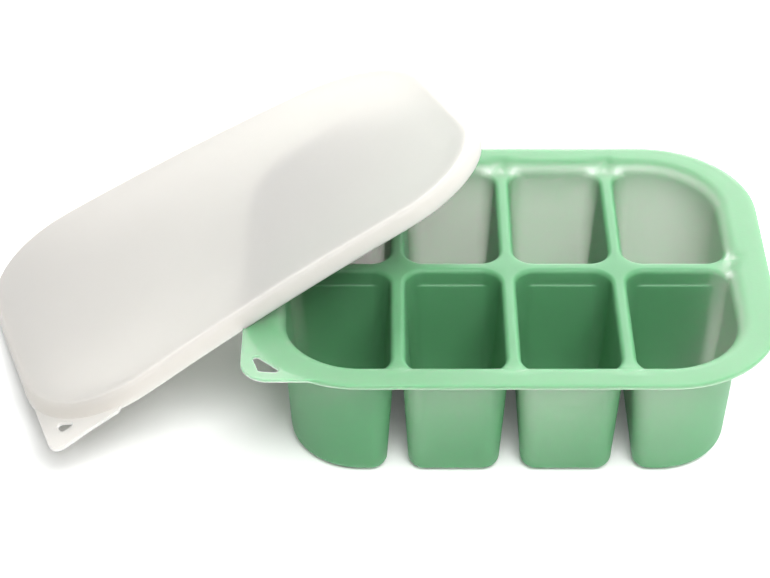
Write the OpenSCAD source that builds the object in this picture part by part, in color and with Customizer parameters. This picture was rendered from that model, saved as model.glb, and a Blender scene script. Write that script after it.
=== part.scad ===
// Baby food freezer tray with lid.
// Millimetres, +Z up. The origin is on the surface that the cups stand on, under the middle of the tray.
// +X runs along the rows of cups, and the front of the tray is towards -Y.

/* [Tray] */
// Distance between the middles of neighbouring cups in a row
pitch = 41; // [37:0.5:46]
// Overall length of the rim
tray_length = 193; // [185:1:215]
// Overall width of the rim, front to back
tray_width = 145.5; // [130:0.5:160]
// Height from the cups' undersides to the top of the rim
tray_height = 53.5; // [42:0.5:60]
// Radius of the rim's outer corners
rim_radius = 41.5; // [34:0.5:48]
// Thickness of the rim's lip
lip = 2.3; // [1.8:0.1:3]
// Width of the rim's flat top at the two ends
end_flat = 9.2; // [7:0.1:12]
// Width of the rim's flat top along the front and the back
side_flat = 6.8; // [5:0.1:10]
// Radius of the rounded edge between the flat top and the cups
roll = 6.2; // [4:0.1:7]
// How far the tops of the dividers lie below the rim
divider_drop = 3.6; // [2:0.1:4]

/* [Cups] */
// Thickness of the cups' walls
wall = 1.6; // [1.2:0.1:2.2]
// Thickness of the cups' floors
floor_t = 1.8; // [1.4:0.1:2.6]
// Width of the dividers' tops
divider = 5.4; // [4.6:0.1:7]
// Thickness of the web that joins the cups under the dividers' tops
web = 1.8; // [1.4:0.1:2.4]
// Slope of the cups' walls from upright, in degrees
draft = 3.4; // [2:0.1:4]
// Radius of a cup's upright inner corners, at its top
cell_radius = 7.4; // [6:0.1:10]
// Radius of the outer corners of the corner cups, inside
corner_radius = 27.5; // [20:0.5:32]
// Radius round the bottoms of the cups, outside
foot_radius = 4.2; // [3:0.1:5]

/* [Corner tabs] */
// Thickness of the hanging tab on the tray and of the tab on the lid
tab_t = 1.3; // [1:0.1:2]
// How far the tab's front edge lies behind the rim's front edge
tab_back = 3; // [1:0.5:5]
// Radius of the tab's outer corner
tab_radius = 10; // [6:0.5:14]

/* [Lid] */
// Height of the lid over all
lid_height = 6.5; // [5:0.5:9]
// Thickness of the lid's panel
lid_panel = 1.5; // [1.2:0.1:2]
// How far the lid's lower edge reaches past the rim all round
lid_overhang = 1.2; // [0.5:0.1:3]
// Width of the lid's lower edge that lies on the rim's flat when the lid is on
lid_seat = 3; // [2:0.1:4]
// How far the lid's side leans in from its lower edge to its top
lid_lean_in = 2.8; // [1:0.1:3.5]

/* [Resting lid] */
// The lid rests with its left end on the table and its panel on the tray's back left corner: turn about Z
lid_turn = 21.9; // [10:0.1:30]
// Tilt along the lid's length, left end down
lid_tilt = 20.9; // [16:0.1:24]
// Tilt along the lid's width, far side down
lid_roll = 13.1; // [4:0.1:16]
// Where the lid's middle lies, front to back
lid_y = 32.5; // [20:0.5:45]
// Clearance left at each contact of the resting lid
rest_gap = 0.4; // [0.2:0.1:1]

/* [Hidden] */
$fn = 96;
half_l = tray_length / 2;
half_w = tray_width / 2;
div_z = tray_height - divider_drop;
// lengths that meet each other are kept to a tenth of a micron, so that neighbouring faces share their edges
function fine(x) = round(x * 10000) / 10000;
land = fine(sqrt(roll * roll - pow(roll - divider_drop, 2)));
in_x = half_l - end_flat - land;
in_y = half_w - side_flat - land;
slope = tan(draft);
half_div = divider / 2;
half_gap = half_div - wall;
under_rim = tray_height - lip;
web_z = div_z - web;
// the tab's hole: three rounded corners, as distances from the rim's left and front edges
hole_pts = [[5.6, 14.6], [7.6, 8.8], [12.2, 8.4]];
hole_r = 1.5;
lid_x2 = half_l + lid_overhang;
lid_y2 = half_w + lid_overhang;
lid_r = rim_radius + lid_overhang;

// ---------- shapes that are used more than once ----------

// A wall's section, r outwards from a corner's centre: it leans out by the draft from z0 up to z1,
// is r wide at zr, and is rounded below by f.
module wall_section(r, z0, zr, z1, f) {
    rb = r - (zr - z0) * slope;
    xc = fine(rb - f * (1 - sin(draft)) / cos(draft));
    polygon([[0, z0], [xc, z0], [xc + fine(f * cos(draft)), z0 + fine(f - f * sin(draft))],
             [fine(rb + (z1 - z0) * slope), z1], [0, z1]]);
    intersection() {
        translate([xc, z0 + f]) circle(r = f);
        translate([0, z0]) square([xc + f, 2 * f]);
    }
}

// Carries a section along a straight side, starting at p. At angle 0 the section faces +X and runs to -Y.
module side_run(p, angle, length)
    translate([p[0], p[1], 0]) rotate([0, 0, angle]) rotate([90, 0, 0]) linear_extrude(length) children();

// Turns a section through the quarter from the angle to the angle + 90 about p.
module corner_turn(p, angle)
    translate([p[0], p[1], 0]) rotate([0, 0, angle]) rotate_extrude(angle = 90) children();

// A cup's outside or inside, between x0 and x1 and y0 and y1 at the height zr. Three of its upright corners
// have the radius rs. The one at x1, y1 has rb.
module cup_body(x0, x1, y0, y1, rs, rb, z0, zr, z1, f) {
    a = [x0 + rs, y0 + rs];
    b = [x1 - rs, y0 + rs];
    c = [x1 - rb, y1 - rb];
    d = [x0 + rs, y1 - rs];
    translate([0, 0, z0]) linear_extrude(z1 - z0)
        polygon(rb > rs ? [a, b, [b[0], c[1]], c, [c[0], d[1]], d] : [a, b, c, d]);
    corner_turn(a, 180) wall_section(rs, z0, zr, z1, f);
    corner_turn(b, 270) wall_section(rs, z0, zr, z1, f);
    corner_turn(c, 0) wall_section(rb, z0, zr, z1, f);
    corner_turn(d, 90) wall_section(rs, z0, zr, z1, f);
    side_run([b[0], c[1]], 0, c[1] - b[1]) wall_section(rs, z0, zr, z1, f);
    side_run([d[0], d[1]], 90, c[0] - d[0]) wall_section(rs, z0, zr, z1, f);
    side_run([a[0], a[1]], 180, d[1] - a[1]) wall_section(rs, z0, zr, z1, f);
    side_run([b[0], b[1]], 270, b[0] - a[0]) wall_section(rs, z0, zr, z1, f);
}

// A rounded rectangle with a section carried all round it. hx and hy reach to the section's radius r.
module ring_body(hx, hy, r, z0, z1) {
    x = hx - r;
    y = hy - r;
    translate([-x, -y, z0]) cube([2 * x, 2 * y, z1 - z0]);
    for (k = [0 : 3])
        corner_turn([(k == 0 || k == 3) ? x : -x, k < 2 ? y : -y], 90 * k) children();
    side_run([x, y], 0, 2 * y) children();
    side_run([-x, y], 90, 2 * x) children();
    side_run([-x, -y], 180, 2 * y) children();
    side_run([x, -y], 270, 2 * x) children();
}

module rounded_plate(hx, hy, r, z0, z1)
    ring_body(hx, hy, r, z0, z1) translate([0, z0]) square([r, z1 - z0]);

// The four quarters of the tray are alike.
module quarters()
    for (i = [0, 1], j = [0, 1]) mirror([i, 0, 0]) mirror([0, j, 0]) children();

// Outline of a triangle with rounded corners, the points given anticlockwise. Its sides lie a touch inside
// the corners' circles, so that they cross and don't only touch.
function side_dir(p, q) = (q - p) / norm(q - p);
function off(p, q) = [side_dir(p, q)[1], -side_dir(p, q)[0]];
module rounded_triangle(p, r) {
    inside = 0.985 * r;
    polygon([for (i = [0 : 2]) for (e = [0, 1])
        let (q = p[(i + 1) % 3], c = (e == 0 ? p[i] : q) + inside * off(p[i], q)) [fine(c[0]), fine(c[1])]]);
    for (c = p) translate(c) circle(r = r);
}

// The flat tab that fills out the front left corner, and its hole. Shared by the tray and the lid.
module tab_outline() {
    x = -half_l + tab_radius;
    y = -half_w + tab_back + tab_radius;
    translate([x, y]) circle(r = tab_radius);
    translate([-half_l, y]) square([rim_radius + 4, rim_radius - tab_radius - tab_back]);
    translate([x, y - tab_radius]) square([rim_radius + 4 - tab_radius, rim_radius - tab_back]);
}

module tab_hole(z0, z1)
    translate([-half_l, -half_w, z0]) linear_extrude(z1 - z0) rounded_triangle(hole_pts, hole_r);

// ---------- the tray ----------

module cup_outside() {
    cup_body(half_gap, pitch - half_gap, half_gap, in_y + wall, cell_radius + wall, cell_radius + wall,
             0, div_z, under_rim + lip / 2, foot_radius);
    cup_body(pitch + half_gap, in_x + wall, half_gap, in_y + wall, cell_radius + wall, corner_radius + wall,
             0, div_z, under_rim + lip / 2, foot_radius);
}

module cup_inside() {
    f = foot_radius - 1;
    cup_body(half_div, pitch - half_div, half_div, in_y, cell_radius, cell_radius, floor_t, div_z, div_z + 1, f);
    cup_body(pitch + half_div, in_x, half_div, in_y, cell_radius, corner_radius, floor_t, div_z, div_z + 1, f);
}

// The hollow above the dividers, with the rim's rounded inner edge. Its foot lies just inside the cups'
// walls, so that the rounded edge runs into them.
module basin() {
    tuck = 0.15;
    r = corner_radius - tuck;
    ring_body(in_x - tuck, in_y - tuck, r, div_z, tray_height + 1)
        difference() {
            translate([0, div_z]) square([r + land, divider_drop + 1]);
            translate([r + land, tray_height - roll]) circle(r = roll);
        }
}

module tray() color([0.53, 0.78, 0.6])
    difference() {
        union() {
            rounded_plate(half_l, half_w, rim_radius, under_rim, tray_height);
            rounded_plate(in_x + wall - 0.8, in_y + wall - 0.8, corner_radius + wall - 0.8,
                          web_z, under_rim + lip / 2);
            quarters() cup_outside();
            translate([0, 0, tray_height - tab_t]) linear_extrude(tab_t) tab_outline();
            // the lip's straight front edge, which the tab starts from
            translate([-half_l + 14, -half_w, under_rim]) cube([rim_radius - 10, 12, lip]);
        }
        basin();
        quarters() cup_inside();
        tab_hole(under_rim - 1, tray_height + 1);
    }

// ---------- the lid ----------

// Drawn flat, its lower edge at z = 0
module lid_flat() {
    top_r = 1.4;
    difference() {
        union() {
            ring_body(lid_x2, lid_y2, lid_r, 0, lid_height) {
                polygon([[0, 0], [lid_r, 0], [lid_r, 0.8], [lid_r - lid_lean_in + 0.4, lid_height - top_r],
                         [lid_r - lid_lean_in - top_r + 0.4, lid_height], [0, lid_height]]);
            }
            linear_extrude(tab_t) tab_outline();
            translate([-half_l + 14, -half_w, 0]) cube([rim_radius - 10, 12, tab_t]);
        }
        rounded_plate(half_l - lid_seat, half_w - lid_seat, rim_radius - lid_seat, -1, lid_height - lid_panel);
        tab_hole(-1, lid_height - lid_panel);
    }
}

// The lid's resting place. Its up direction, and the slopes of its own X and Y:
up = [cos(lid_turn) * -sin(lid_tilt) * cos(lid_roll) - sin(lid_turn) * sin(lid_roll),
      sin(lid_turn) * -sin(lid_tilt) * cos(lid_roll) + cos(lid_turn) * sin(lid_roll),
      cos(lid_tilt) * cos(lid_roll)];
rise_x = sin(lid_tilt);
rise_y = cos(lid_tilt) * -sin(lid_roll);
// its lowest corner is just above the table,
lid_z = rest_gap + abs(rise_x) * (lid_x2 - lid_r) + abs(rise_y) * (lid_y2 - lid_r)
        + lid_r * norm([rise_x, rise_y]);
// and its panel is just above the rim's back left corner
rim_x = -(half_l - rim_radius) + rim_radius * up[0] / norm([up[0], up[1]]);
rim_y = (half_w - rim_radius) + rim_radius * up[1] / norm([up[0], up[1]]);
lid_x = (up[0] * rim_x + up[1] * (rim_y - lid_y) + up[2] * (tray_height - lid_z)
         - (lid_height - lid_panel - rest_gap)) / up[0];

module lid() color([0.92, 0.91, 0.89, 0.8])
    translate([lid_x, lid_y, lid_z]) rotate([-lid_roll, -lid_tilt, lid_turn]) lid_flat();

tray();
lid();
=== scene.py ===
"""Baby food freezer tray with its lid: the looks round the packed frame.

Lengths are in millimetres up to to_object, which turns them into metres."""
import math
from collections import namedtuple

import bmesh
import bpy
import numpy as np
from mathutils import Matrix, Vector


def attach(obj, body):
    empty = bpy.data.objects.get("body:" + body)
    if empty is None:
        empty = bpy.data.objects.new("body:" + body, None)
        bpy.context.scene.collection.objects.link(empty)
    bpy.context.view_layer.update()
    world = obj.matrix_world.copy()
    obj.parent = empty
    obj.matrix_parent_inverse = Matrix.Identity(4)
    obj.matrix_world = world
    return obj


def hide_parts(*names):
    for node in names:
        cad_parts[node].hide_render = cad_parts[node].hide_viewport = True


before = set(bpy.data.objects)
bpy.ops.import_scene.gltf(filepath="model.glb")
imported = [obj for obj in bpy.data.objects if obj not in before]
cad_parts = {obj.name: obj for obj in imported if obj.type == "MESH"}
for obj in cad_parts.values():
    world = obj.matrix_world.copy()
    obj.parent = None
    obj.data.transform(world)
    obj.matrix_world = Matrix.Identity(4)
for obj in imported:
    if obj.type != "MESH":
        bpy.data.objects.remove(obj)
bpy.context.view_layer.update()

MM = 0.001

# ---------------------------------------------------------------- sizes, as in the part's source
PITCH = 41.0
LENGTH, WIDTH, HEIGHT = 193.0, 145.5, 53.5
RIM_R, LIP = 41.5, 2.3              # the rim's outer corners, and its thickness
END_FLAT, SIDE_FLAT = 9.2, 6.8      # the rim's flat top, at the ends and at the sides
CAD_ROLL, DROP = 6.2, 3.6           # the solid's inner roll, and the dividers' tops below the rim
WALL, FLOOR, DIVIDER, WEB = 1.6, 1.8, 5.4, 1.8
DRAFT_DEG = 3.4                     # slope of the cups' walls from upright
CELL_R, CORNER_R, FOOT_R = 7.4, 27.5, 4.2   # a cup's corners, the big outer one, and round its underside
TAB_T, TAB_BACK, TAB_R = 1.3, 3.0, 10.0     # thickness, how far behind the rim's front edge, and corner
HOLE_PTS, HOLE_R = ((5.6, 14.6), (7.6, 8.8), (12.2, 8.4)), 1.5
# the lid: height, panel, how far it reaches past the rim, width of its lower edge, and slope of its side
LID_H, LID_PANEL, LID_OVER, LID_SEAT, LID_LEAN = 6.5, 1.5, 1.2, 3.0, 2.8
LID_HOLE_PTS, LID_HOLE_R = ((6.6, 12.6), (7.4, 9.4), (10.2, 9.2)), 1.3

# ---------------------------------------------------------------- sizes that follow from these
DRAFT = math.radians(DRAFT_DEG)
SLOPE = math.tan(DRAFT)
HALF_L, HALF_W, HALF_DIV = LENGTH / 2, WIDTH / 2, DIVIDER / 2
DIV_Z = HEIGHT - DROP
UNDER_RIM = HEIGHT - LIP
WEB_Z = DIV_Z - WEB
LAND = math.sqrt(CAD_ROLL ** 2 - (CAD_ROLL - DROP) ** 2)                # the roll's width down to the dividers
IN_X, IN_Y = HALF_L - END_FLAT - LAND, HALF_W - SIDE_FLAT - LAND        # round all cups, inside
OUT_X, OUT_Y, OUT_R = IN_X + WALL, IN_Y + WALL, CORNER_R + WALL         # round all cups, outside
EDGE_X, EDGE_Y, EDGE_R = IN_X + LAND, IN_Y + LAND, CORNER_R + LAND      # the flat top's inner edge
OUT_GAP = HALF_DIV - WALL           # from the outside of a cup to the middle of its divider
LID_X, LID_Y, LID_R = HALF_L + LID_OVER, HALF_W + LID_OVER, RIM_R + LID_OVER

# ---------------------------------------------------------------- finer shapes of the visible pieces
ROLL = 5.8                          # the rim's inner roll, tangent to the walls
ROLL_TURN = math.radians(90 - DRAFT_DEG)
DIV_R, DIV_BLEND = 1.9, 2.2         # dividers: rounding of the upper edges, and their run into the rim
INNER_FOOT = 3.6                    # rounding round the cups' floors
LEDGE_Z, LEDGE = DIV_Z - 6.4, 0.6   # fill line: a small ledge on the walls at the middle divider
LIP_TOP_R, LIP_LOW_R = 0.7, 0.6     # rounding of the rim's lip
UNDER_R = 2.2                       # rounding under the rim, round the cups
UNDER_REACH = 3                     # where the corners' steps change from divider to rim on the underside
TAB_INSET = 0.02                    # the tab's left edge lies a touch inside the rim's
LID_LOW_R, LID_TOP_R, LID_IN_R = 0.45, 1.1, 1.2     # rounding of the lid's lower edge, top edge and inside
ROUND_STEPS = 12                    # steps over a quarter turn of a cup's small corner
BIG_STEPS, SIDE_STEPS = 22, 7       # steps over the big corner, and along a straight side
PANEL_STEPS = 20                    # rows over the lid's panel, each way
WALL_Z = (36.0, 28.0, 20.0, 12.0)   # levels of the cups' inside below the fill line
MERGE = 0.004                       # points closer than this are one point
SHARP = math.radians(32)            # edges that turn by more than this stay sharp

# how the soft lid gives where it leans: bow and twist, per mm squared
BOW, TWIST = 3.8e-4, -6.7e-4
LEAN = dict(turn=21.9, tilt=-21.0, roll=-13.1, at=(-105.7, 32.8, 45.2))

Spot = namedtuple("Spot", "wall normal edge kind along")
Spot.__doc__ = """A point of a cup's outline: where the wall is, which way it faces, the point where the
cup's share of the deck ends, the side or corner it is on, and how far along that."""


def smooth(a, b, x):
    """0 below a, 1 above b, smooth between them."""
    t = min(max((x - a) / (b - a), 0.0), 1.0)
    return t * t * (3 - 2 * t)


def smooth_max(a, b, k):
    """The greater of two values, rounded where they are within k of each other."""
    h = min(max(0.5 + 0.5 * (a - b) / k, 0.0), 1.0)
    return b * (1 - h) + a * h + k * h * (1 - h)


def unit(degrees):
    """The direction of an angle."""
    t = math.radians(degrees)
    return np.array([math.cos(t), math.sin(t)])


def inside_round(p, hx, hy, r):
    """How far p lies inside a rounded rectangle's outline."""
    q = np.abs(p) - np.array([hx - r, hy - r])
    out = np.hypot(*np.maximum(q, 0.0)) + min(max(q[0], q[1]), 0.0)
    return r - out


# ---------------------------------------------------------------- the tray's mesh
class Mesh:
    """Collects vertices, in millimetres, and faces."""

    def __init__(self):
        self.v, self.f = [], []

    def ring(self, pts):
        """Adds a row of points and gives their numbers."""
        start = len(self.v)
        self.v.extend(tuple(map(float, p)) for p in pts)
        return list(range(start, start + len(pts)))

    def band(self, a, b):
        """Faces between two closed rows of points."""
        for i in range(len(a)):
            j = (i + 1) % len(a)
            self.f.append((a[i], a[j], b[j], b[i]))

    def skin(self, rows, inward=False, start=None):
        """Rows of points with faces between them, also to a row that is there already."""
        rings = [] if start is None else [start]
        rings += [self.ring(r) for r in rows]
        for a, b in zip(rings, rings[1:]):
            self.band(*((b, a) if inward else (a, b)))
        return rings

    def cap(self, a):
        """One face over a row of points."""
        self.f.append(tuple(a))

    def fan(self, a, centre):
        """Triangles from a row of points to one in the middle."""
        c = self.ring([centre])[0]
        for i in range(len(a)):
            self.f.append((a[i], a[(i + 1) % len(a)], c))


def corner_angles(split, first):
    """Angles over a quarter turn, one of them exactly at the split, with so many steps before it."""
    return [*np.linspace(0, split, first, endpoint=False),
            *np.linspace(split, 90, ROUND_STEPS - first, endpoint=False)]


def cell_outline(x0, x1, y0, y1, rs, rb, limits):
    """The spots of a cell's outline, anticlockwise. Its corners have the radius rs, the outer one rb.
    limits: the lines where the cell's share of the deck ends, (left, right, front, back)."""
    left, right, front, back = limits
    big = rb > rs
    corners = (((x1 - rb, y1 - rb), rb, 0, (right, back)),
               ((x0 + rs, y1 - rs), rs, 90, (left, back)),
               ((x0 + rs, y0 + rs), rs, 180, (left, front)),
               ((x1 - rs, y0 + rs), rs, 270, (right, front)))
    # the number of steps up to the split is the same in neighbouring cells, so that their points meet
    firsts = (7, 5, 6, 7 if big else 6)
    spots = []
    for k, (c, r, a0, limit) in enumerate(corners):
        c = np.array(c)
        if r > rs:      # the big outer corner: the flat's edge runs parallel to it
            for a in np.linspace(0, 90, BIG_STEPS, endpoint=False):
                n = unit(a)
                spots.append(Spot(c + r * n, n, c + (r + right - x1) * n, "big", a))
        else:
            d = np.abs(np.array(limit) - c)
            split = math.degrees(math.atan2(d[1], d[0]) if k in (0, 2) else math.atan2(d[0], d[1]))
            for a in corner_angles(split, firsts[k]):
                n = unit(a0 + a)
                ray = min(d[i] / abs(n[i]) for i in (0, 1) if abs(n[i]) > 1e-9)
                spots.append(Spot(c + r * n, n, c + ray * n, "corner%d" % k, a))
        # the straight side after this corner
        after = corners[(k + 1) % 4]
        n = np.round(unit(a0 + 90))
        p, q = c + r * n, np.array(after[0]) + after[1] * n
        line = (back, left, front, right)[k]
        for t in np.linspace(0, 1, SIDE_STEPS, endpoint=False):
            w = p + (q - p) * t
            edge = np.array([w[0], line]) if k in (0, 2) else np.array([line, w[1]])
            spots.append(Spot(w, n, edge, ("back", "left", "front", "right")[k], t))
    return spots


def rim_share(spot, big):
    """How far a spot of the wall faces the rim: 0 at a divider, 1 at the rim."""
    if spot.kind in ("back", "big") or (spot.kind == "right" and big):
        return 1.0
    if spot.kind == "corner1":                                      # rim, then divider
        return 1.0 - smooth(0, 50, spot.along)
    if spot.kind == "corner0" or (spot.kind == "corner3" and big):  # divider, then rim
        return smooth(40, 90, spot.along)
    return 0.0


def roll_z(d):
    """Height of the rim's inner roll, d inside the flat's edge."""
    return HEIGHT - ROLL + math.sqrt(ROLL ** 2 - min(max(d, 0.0), ROLL * math.cos(DRAFT)) ** 2)


def deck_z(p):
    """Upper surface of the rim and the dividers."""
    d = inside_round(p, EDGE_X, EDGE_Y, EDGE_R)
    return smooth_max(roll_z(d), DIV_Z, DIV_BLEND) if d > 0.001 else HEIGHT


def rounded(u, r):
    """Drop of a rounded edge, u away from the wall."""
    return r - math.sqrt(r * r - (r - u) ** 2) if u < r else 0.0


def draft(z):
    """How far the draft moves a wall outward, at a height."""
    return (z - DIV_Z) * SLOPE


def ledge(spot, z):
    """How far the fill line's ledge sets the wall at the middle divider inward, at a height."""
    facing = {"front": 1.0, "corner2": smooth(60, 90, spot.along),
              "corner3": 1 - smooth(0, 30, spot.along)}.get(spot.kind, 0.0)
    return LEDGE * facing * (1 - smooth(LEDGE_Z - 0.3, LEDGE_Z + 0.3, z)) * smooth(4.0, 34.0, z)


def moved(spot, off, z):
    """The spot's wall point, so far outward, at a height."""
    return (spot.wall[0] + spot.normal[0] * off, spot.wall[1] + spot.normal[1] * off, z)


def foot_top(r, z0):
    """Height at which the rounding round a floor at z0 begins."""
    return z0 + r * (1 - math.sin(DRAFT))


def foot_rows(spots, r, z0, steps):
    """Rows of the rounding round a floor at z0."""
    rows = []
    for k in range(1, steps + 1):
        turn = DRAFT + (math.pi / 2 - DRAFT) * k / steps
        off = draft(foot_top(r, z0)) - r * (math.cos(DRAFT) - math.cos(turn))
        rows.append([moved(s, off, z0 + r * (1 - math.sin(turn))) for s in spots])
    return rows


def inner_cell(m, x0, x1, big):
    """The inside of one cup with its share of the deck. Returns the deck's outer row and the spots."""
    spots = cell_outline(x0, x1, HALF_DIV, IN_Y, CELL_R, CORNER_R if big else CELL_R,
                         (x0 - HALF_DIV, EDGE_X if big else x1 + HALF_DIV, 0.0, EDGE_Y))
    steps = 9
    deck = []
    for j in range(steps + 1):
        row = []
        for s in spots:
            share = rim_share(s, big)
            full = float(np.linalg.norm(s.edge - s.wall))
            u_rim = full * (1 - math.sin(ROLL_TURN * j / steps) / math.sin(ROLL_TURN))
            u_div = full if j == 0 else DIV_R * (1 - math.sin(math.pi / 2 * (j - 1) / (steps - 1)))
            u = share * u_rim + (1 - share) * u_div
            p = s.wall + (s.edge - s.wall) * (u / full)
            crest = 1 - share * (1 - smooth(0.45, 1.0, u / full))
            z = ((1 - crest) * roll_z(inside_round(p, EDGE_X, EDGE_Y, EDGE_R))
                 + crest * (deck_z(p) - rounded(u, DIV_R) * (1 - share)))
            row.append((p[0], p[1], z))
        deck.append(row)
    # the wall: down to the fill line from wherever the deck ends, then level by level to the floor's rounding
    z_deck = [p[2] for p in deck[-1]]
    line_z = [LEDGE_Z + dz for dz in (0.35, 0.1, -0.25, -0.8)]
    levels = [[z + (line_z[0] - z) * way for z in z_deck] for way in (0.36, 0.72)]
    levels += [[z] * len(spots) for z in (*line_z, *WALL_Z, foot_top(INNER_FOOT, FLOOR))]
    wall = [[moved(s, draft(z) - ledge(s, z), z) for s, z in zip(spots, level)] for level in levels]
    rings = m.skin(deck + wall + foot_rows(spots, INNER_FOOT, FLOOR, 7), inward=True)
    m.cap(rings[-1])
    return rings[0], spots


def rim_out(p):
    """The point of the rim's outer outline that belongs to a point of the flat's inner edge, and its normal."""
    cx, cy = EDGE_X - EDGE_R, EDGE_Y - EDGE_R
    ox, oy = HALF_L - RIM_R, HALF_W - RIM_R
    if p[0] > cx + 1e-6 and p[1] > cy + 1e-6:
        t = math.atan2(p[1] - cy, p[0] - cx)
        n = np.array([math.cos(t), math.sin(t)])
        return np.array([ox, oy]) + RIM_R * n, n
    if p[0] > cx + 1e-6:
        return np.array([HALF_L, p[1] * oy / cy]), np.array([1.0, 0.0])
    return np.array([p[0] * ox / cx, HALF_W]), np.array([0.0, 1.0])


def under_z(p):
    """Underside of the webs between the cups and of the rim."""
    d = inside_round(p, OUT_X, OUT_Y, OUT_R)
    return WEB_Z + (UNDER_RIM - WEB_Z) * smooth(-3.0, 0.6, -d)


def outer_cell(m, x0, x1, big, rim_pts):
    """The outside of one cup with its share of the underside, which ends at rim_pts where it meets the rim."""
    spots = cell_outline(x0, x1, OUT_GAP, OUT_Y, CELL_R + WALL, (CORNER_R if big else CELL_R) + WALL,
                         (x0 - OUT_GAP, EDGE_X + UNDER_REACH if big else x1 + OUT_GAP, 0.0,
                          EDGE_Y + UNDER_REACH))
    steps = 7
    deck = []
    for j in range(steps + 1):
        row = []
        for s, rim_pt in zip(spots, rim_pts):
            edge = s.edge if rim_pt is None else rim_pt
            share = rim_share(s, big)
            full = float(np.linalg.norm(edge - s.wall))
            r = OUT_GAP * (1 - share) + UNDER_R * share
            u = full if j == 0 else min(r, full) * (1 - math.sin(math.pi / 2 * (j - 1) / (steps - 1)))
            p = s.wall + (edge - s.wall) * (u / full)
            z = under_z(p) * (1 - share) + UNDER_RIM * share
            row.append((p[0], p[1], z - rounded(u, r)))
        deck.append(row)
    wall = []
    for way in (0.05, 0.15, 0.35, 0.55, 0.75, 0.92, 1.0):
        level = [p[2] + (foot_top(FOOT_R, 0) - p[2]) * way for p in deck[-1]]
        wall.append([moved(s, draft(z), z) for s, z in zip(spots, level)])
    rings = m.skin(deck + wall + foot_rows(spots, FOOT_R, 0, 8))
    m.cap(rings[-1][::-1])


def on_rim(p):
    """True for a point on the flat's inner edge."""
    return abs(inside_round(p, EDGE_X, EDGE_Y, EDGE_R)) < 1e-4


def rim_column(edge, out, n):
    """Points across the rim: its flat top from the inner edge, the lip, and the turn to the underside."""
    col = [(*(edge + (out - LIP_TOP_R * n - edge) * s), HEIGHT) for s in (0.35, 0.7)]
    for t in range(6):
        e = math.pi / 2 * t / 5
        col.append((*(out - LIP_TOP_R * n * (1 - math.sin(e))), HEIGHT - LIP_TOP_R * (1 - math.cos(e))))
    for t in range(5):
        e = math.pi / 2 * t / 4
        col.append((*(out - LIP_LOW_R * n * (1 - math.cos(e))), UNDER_RIM + LIP_LOW_R * (1 - math.sin(e))))
    return col


def tray_quarter(m):
    """A quarter of the tray, x and y above 0: two cups, their deck and underside, and the rim."""
    for x0, x1, big in ((HALF_DIV, PITCH - HALF_DIV, False), (PITCH + HALF_DIV, IN_X, True)):
        deck, spots = inner_cell(m, x0, x1, big)
        rim = [rim_out(s.edge) if on_rim(s.edge) else None for s in spots]
        outer_cell(m, x0 - WALL, x1 + WALL, big,
                   [None if r is None else r[0] - LIP_LOW_R * r[1] for r in rim])
        for k in range(len(spots)):
            pair = (k, (k + 1) % len(spots))
            if any(rim[q] is None for q in pair):
                continue
            a, b = ([deck[q]] + m.ring(rim_column(np.array(m.v[deck[q]][:2]), *rim[q])) for q in pair)
            for i in range(len(a) - 1):
                m.f.append((a[i], a[i + 1], b[i + 1], b[i]))


def whole_tray():
    """The quarter and its mirror images. Returns vertices and faces."""
    m = Mesh()
    tray_quarter(m)
    v = np.array(m.v)
    verts, faces = [], []
    for sx in (1, -1):
        for sy in (1, -1):
            start = len(verts)
            verts.extend((v * [sx, sy, 1]).tolist())
            for f in m.f:
                f = tuple(i + start for i in f)
                faces.append(f if sx * sy > 0 else f[::-1])
    return verts, faces


def to_object(name, verts, faces):
    """An object of the given faces, with points that meet merged and all faces outward."""
    me = bpy.data.meshes.new(name)
    me.from_pydata([tuple(c * MM for c in p) for p in verts], [], faces)
    bm = bmesh.new()
    bm.from_mesh(me)
    bmesh.ops.remove_doubles(bm, verts=bm.verts, dist=MERGE * MM)
    bmesh.ops.dissolve_degenerate(bm, edges=bm.edges, dist=MERGE * MM)
    bmesh.ops.recalc_face_normals(bm, faces=bm.faces)
    bm.to_mesh(me)
    bm.free()
    o = bpy.data.objects.new(name, me)
    bpy.context.scene.collection.objects.link(o)
    return o


def smooth_shaded(o):
    """Smooth shading, with sharp edges where the surface turns by more than SHARP."""
    bm = bmesh.new()
    bm.from_mesh(o.data)
    for e in bm.edges:
        e.smooth = len(e.link_faces) == 2 and e.calc_face_angle(0.0) < SHARP
    for f in bm.faces:
        f.smooth = True
    bm.to_mesh(o.data)
    bm.free()


def prism(name, outline, z0, z1):
    """An upright solid over an outline."""
    n = len(outline)
    verts = [(x, y, z) for z in (z0, z1) for x, y in outline]
    faces = [tuple(range(n))[::-1], tuple(range(n, 2 * n))]
    faces += [(i, (i + 1) % n, n + (i + 1) % n, n + i) for i in range(n)]
    return to_object(name, verts, faces)


def arc(cx, cy, r, a0, a1, n):
    """Points of an arc from the angle a0 to a1, in degrees."""
    return [(cx + r * math.cos(math.radians(a)), cy + r * math.sin(math.radians(a)))
            for a in np.linspace(a0, a1, n)]


def combine(o, other, how):
    """Boolean with another object, which is then removed."""
    mod = o.modifiers.new("join", "BOOLEAN")
    mod.operation, mod.solver, mod.object = how, "EXACT", other
    dg = bpy.context.evaluated_depsgraph_get()
    me = bpy.data.meshes.new_from_object(o.evaluated_get(dg))
    o.modifiers.clear()
    old = o.data
    o.data = me
    bpy.data.meshes.remove(old)
    bpy.data.objects.remove(other)


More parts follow.
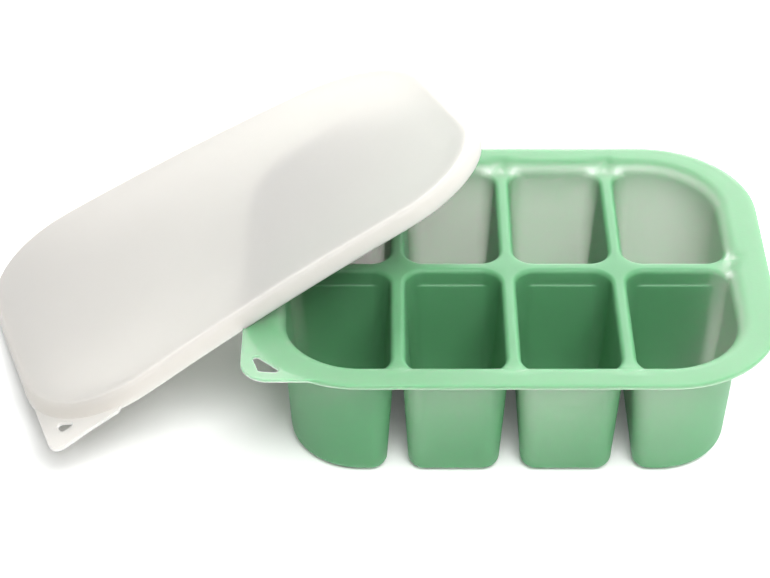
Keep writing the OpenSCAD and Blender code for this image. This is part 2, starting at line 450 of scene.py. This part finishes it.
def hole_outline(pts, r):
    """A triangle with rounded corners. The points are measured from the rim's front left corner."""
    pts = [np.array(p) for p in pts]
    out = []
    for k in range(3):
        before, here, after = pts[k - 1], pts[k], pts[(k + 1) % 3]
        a0 = math.degrees(math.atan2(*(here - before)[::-1])) - 90
        a1 = math.degrees(math.atan2(*(after - here)[::-1])) - 90
        while a1 < a0:
            a1 += 360
        out += arc(here[0], here[1], r, a0, a1, 9)
    return [(x - HALF_L, y - HALF_W) for x, y in out]


def tab_outline():
    """The tray's flat corner tab: a rounded corner, a straight front edge, and an inner side along the rim."""
    left, front = -HALF_L + TAB_INSET, -HALF_W + TAB_BACK
    cx, cy = -HALF_L + RIM_R, -HALF_W + RIM_R
    return (arc(left + TAB_R, front + TAB_R, TAB_R, 180, 270, 15) + [(cx, front)]
            + arc(cx, cy, RIM_R - TAB_BACK - LIP_LOW_R, 270, 180, 24) + [(left, cy)])


def make_tray():
    """The tray with its tab and hanging hole."""
    tray = to_object("tray_body", *whole_tray())
    combine(tray, prism("tab", tab_outline(), HEIGHT - TAB_T, HEIGHT), "UNION")
    combine(tray, prism("cut", hole_outline(HOLE_PTS, HOLE_R), UNDER_RIM - 2, HEIGHT + 2), "DIFFERENCE")
    smooth_shaded(tray)
    return tray


# ---------------------------------------------------------------- the lid's mesh
def lid_loop(inset, z):
    """Points round the lid, so far inside its lower edge, at a height."""
    hx, hy, r = LID_X - inset, LID_Y - inset, LID_R - inset
    centres = [np.array([sx * (hx - r), sy * (hy - r)]) for sx, sy in ((1, 1), (-1, 1), (-1, -1), (1, -1))]
    pts = []
    for k, c in enumerate(centres):
        pts += [c + r * unit(90 * k + a) for a in np.linspace(0, 90, 16, endpoint=False)]
        n = unit(90 * k + 90)
        p, q = c + r * n, centres[(k + 1) % 4] + r * n
        pts += [p + (q - p) * t for t in np.linspace(0, 1, 22 if k in (0, 2) else 14, endpoint=False)]
    return [(p[0], p[1], z) for p in pts]


def panel_rows(m, loop, z):
    """Rows that run from a loop's points inward over a flat face of the panel."""
    rim = [m.v[i] for i in loop]
    return [[(p[0] * (1 - t), p[1] * (1 - t), z) for p in rim] for t in np.linspace(0.03, 0.94, PANEL_STEPS)]


def lid_shell():
    """The lid lying flat, its lower edge at 0. Returns vertices and faces."""
    m = Mesh()
    seat, in_top = LID_OVER + LID_SEAT, LID_H - LID_PANEL - LID_IN_R
    side_in, side_top = LID_LEAN - 0.4, LID_H - LID_TOP_R
    # from the seat's inner edge, round the lower edge, up the side and over the top edge
    outer = [(seat, 0.3), (seat - 0.3, 0.0), (1.6, 0.0)]
    for t in range(5):
        e = math.pi / 2 * t / 4
        outer.append((LID_LOW_R * (1 - math.sin(e)), LID_LOW_R * (1 - math.cos(e))))
    outer += [(0.1 + (side_in - 0.1) * t, 0.8 + (side_top - 0.8) * t) for t in (0.25, 0.5, 0.75, 1.0)]
    for t in range(1, 7):
        e = math.pi / 2 * t / 6
        outer.append((side_in + 0.25 * LID_TOP_R + LID_TOP_R * 0.9 * (1 - math.cos(e)),
                      side_top + LID_TOP_R * math.sin(e)))
    loops = m.skin([lid_loop(inset, z) for inset, z in outer])
    panel = m.skin(panel_rows(m, loops[-1], LID_H), start=loops[-1])
    m.fan(panel[-1], (0, 0, LID_H))
    # inside: up from the seat, then the panel's inner face
    inner = [(seat, z) for z in (1.4, 2.6, in_top)]
    for t in range(1, 6):
        e = math.pi / 2 * t / 5
        inner.append((seat + LID_IN_R * (1 - math.cos(e)), in_top + LID_IN_R * math.sin(e)))
    inside = m.skin([lid_loop(inset, z) for inset, z in inner], inward=True, start=loops[0])
    ceiling = m.skin(panel_rows(m, inside[-1], LID_H - LID_PANEL), inward=True, start=inside[-1])
    m.fan(ceiling[-1][::-1], (0, 0, LID_H - LID_PANEL))
    return m.v, m.f


def flex(p):
    """Bows and twists a point of the flat lid."""
    x, y, z = p
    return (x, y, z - BOW * (x * x + y * y) + TWIST * x * y)


def lean(p):
    """Turns a point of the lid to where it leans on the tray."""
    t, b, g = (math.radians(LEAN[k]) for k in ("turn", "tilt", "roll"))
    x, y, z = p
    y, z = y * math.cos(g) - z * math.sin(g), y * math.sin(g) + z * math.cos(g)
    x, z = x * math.cos(b) + z * math.sin(b), -x * math.sin(b) + z * math.cos(b)
    x, y = x * math.cos(t) - y * math.sin(t), x * math.sin(t) + y * math.cos(t)
    return (x + LEAN["at"][0], y + LEAN["at"][1], z + LEAN["at"][2])


def make_lid():
    """The lid with its corner tab and hole, as it leans on the tray."""
    lid = to_object("lid_body", *lid_shell())
    # the tab's outline, from the rim's front left corner: a rounded corner, then along under the lid's edge
    corner = arc(6, 6.5, 6.0, 180, 270, 12) + [(16, 0.2), (28, -0.6), (34, 4), (12, 16), (4, 34), (0, 38)]
    outline = [(x - HALF_L, y - HALF_W) for x, y in corner]
    combine(lid, prism("tab", outline, 0.05, TAB_T), "UNION")
    combine(lid, prism("cut", hole_outline(LID_HOLE_PTS, LID_HOLE_R), -1, 3), "DIFFERENCE")
    for v in lid.data.vertices:
        v.co = Vector(lean(flex(tuple(c / MM for c in v.co)))) * MM
    smooth_shaded(lid)
    return lid


# ---------------------------------------------------------------- materials
class Sock:
    """A shader value. Python's operators on it add Math nodes."""

    def __init__(self, mat, out):
        self.mat, self.out = mat, out

    def _op(self, name, a, b):
        return self.mat.node("ShaderNodeMath", {"operation": name}, {0: a, 1: b})

    def __add__(self, o): return self._op("ADD", self, o)
    __radd__ = __add__
    def __mul__(self, o): return self._op("MULTIPLY", self, o)
    __rmul__ = __mul__


class Finish:
    """A material built from nodes."""

    def __init__(self, name):
        self.m = bpy.data.materials.new(name)
        self.m.use_nodes = True
        self.nt = self.m.node_tree
        self.nt.nodes.clear()
        self.out = self.nt.nodes.new("ShaderNodeOutputMaterial")
        self.position = self.node("ShaderNodeTexCoord", output="Object")

    def node(self, kind, settings=None, inputs=None, output=0):
        """A new node. Its inputs are links where they are shader values, else constants."""
        n = self.nt.nodes.new(kind)
        for k, v in (settings or {}).items():
            setattr(n, k, v)
        for k, v in (inputs or {}).items():
            if isinstance(v, Sock):
                self.nt.links.new(v.out, n.inputs[k])
            else:
                n.inputs[k].default_value = v
        return Sock(self, n.outputs[output])

    def noise(self, scale, detail, roughness=0.5):
        """Noise over the piece, so many times finer than a metre."""
        return self.node("ShaderNodeTexNoise", {}, {"Vector": self.position, "Scale": scale,
                                                    "Detail": detail, "Roughness": roughness}, "Fac")

    def blend(self, share, tones):
        """A colour between two sRGB tones."""
        return self.node("ShaderNodeMix", {"data_type": "RGBA"},
                         {0: share, 6: srgb(*tones[0]), 7: srgb(*tones[1])}, 2)

    def surface(self, inputs):
        """Ends the material with its main shader."""
        shader = self.node("ShaderNodeBsdfPrincipled", {}, inputs)
        self.nt.links.new(shader.out, self.out.inputs["Surface"])
        return self.m


def srgb(*tone):
    """A linear colour from sRGB values of 0 to 255."""
    return tuple(c / 255 / 12.92 if c <= 10 else ((c / 255 + 0.055) / 1.055) ** 2.4 for c in tone) + (1.0,)


def silicone(name, mottling, tones, bump, rough, rough_range, reach, reach_scale, clear=0.0):
    """Matt silicone that light enters and spreads in. reach: how far each colour of light spreads."""
    f = Finish(name)
    mottle = f.noise(mottling, 3.0)
    grain = f.noise(900.0, 2.0, 0.6)
    return f.surface({
        "Base Color": f.blend(mottle, tones), "Roughness": rough + mottle * rough_range, "IOR": 1.41,
        "Normal": f.node("ShaderNodeBump", {}, {"Strength": bump, "Distance": 0.0002, "Height": grain}),
        "Subsurface Weight": 1.0, "Subsurface Radius": reach, "Subsurface Scale": reach_scale,
        "Transmission Weight": clear, "Specular IOR Level": 0.5})


def green_silicone():
    return silicone("green_silicone", 28.0, ((80, 138, 95), (84, 142, 99)), 0.12, 0.47, 0.08,
                    (0.9, 0.66, 0.8), 0.015)


def milky_silicone():
    return silicone("milky_silicone", 22.0, ((196, 191, 185), (201, 196, 190)), 0.1, 0.45, 0.1,
                    (1.0, 0.96, 0.92), 0.012, clear=0.15)


def pale_floor():
    f = Finish("pale_floor")
    return f.surface({
        "Base Color": f.blend(f.noise(3.0, 2.0), ((243, 244, 243), (245, 245, 244))),
        "Roughness": 0.6, "Specular IOR Level": 0.2,
        "Emission Color": (1, 1, 1, 1), "Emission Strength": 0.06})


def put_on(o, mat):
    """Gives an object its one material."""
    o.data.materials.clear()
    o.data.materials.append(mat)


# ---------------------------------------------------------------- pieces
tray = make_tray()
put_on(tray, green_silicone())
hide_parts("tray")
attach(tray, "tray")

lid = make_lid()
put_on(lid, milky_silicone())
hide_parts("lid")
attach(lid, "lid")

# ---------------------------------------------------------------- floor, light and camera, in metres
FLOOR_HALF, FLOOR_Z = 4, -0.0002
scene = bpy.context.scene
floor_mesh = bpy.data.meshes.new("floor")
floor_corners = [(x, y, FLOOR_Z) for x, y in ((-FLOOR_HALF, -FLOOR_HALF), (FLOOR_HALF, -FLOOR_HALF),
                                             (FLOOR_HALF, FLOOR_HALF), (-FLOOR_HALF, FLOOR_HALF))]
floor_mesh.from_pydata(floor_corners, [], [(0, 1, 2, 3)])
floor = bpy.data.objects.new("floor", floor_mesh)
scene.collection.objects.link(floor)
put_on(floor, pale_floor())

world = bpy.data.worlds.new("studio")
world.use_nodes = True
sky = world.node_tree.nodes["Background"].inputs
sky["Color"].default_value, sky["Strength"].default_value = (1.0, 1.0, 0.99, 1), 0.3
scene.world = world
scene.view_settings.view_transform = "Standard"


def area_light(name, place, size, power):
    """A round white light that faces the origin."""
    data = bpy.data.lights.new(name, "AREA")
    data.shape, data.size, data.energy = "DISK", size, power
    o = bpy.data.objects.new(name, data)
    o.location = place
    o.rotation_mode = "QUATERNION"
    o.rotation_quaternion = (-Vector(place)).to_track_quat("-Z", "Y")
    scene.collection.objects.link(o)


area_light("key", (1.2, 0.2, 1.3), 1.2, 16)
area_light("back", (0.25, 1.4, 1.0), 1.4, 34)
area_light("front", (0.2, -0.95, 1.5), 1.2, 40)

FOCAL_PX, PICTURE_PX, SENSOR, LOOK_DOWN = 2262.0, 770.0, 36.0, 38.0
cam_data = bpy.data.cameras.new("camera")
cam_data.sensor_width = SENSOR
cam_data.lens = FOCAL_PX * SENSOR / PICTURE_PX
cam_data.clip_start, cam_data.clip_end = 0.01, 50
cam = bpy.data.objects.new("camera", cam_data)
cam.location = (-0.04565, -0.6706, 0.5630)
cam.rotation_euler = (math.radians(90 - LOOK_DOWN), 0, 0)
scene.collection.objects.link(cam)
scene.camera = cam
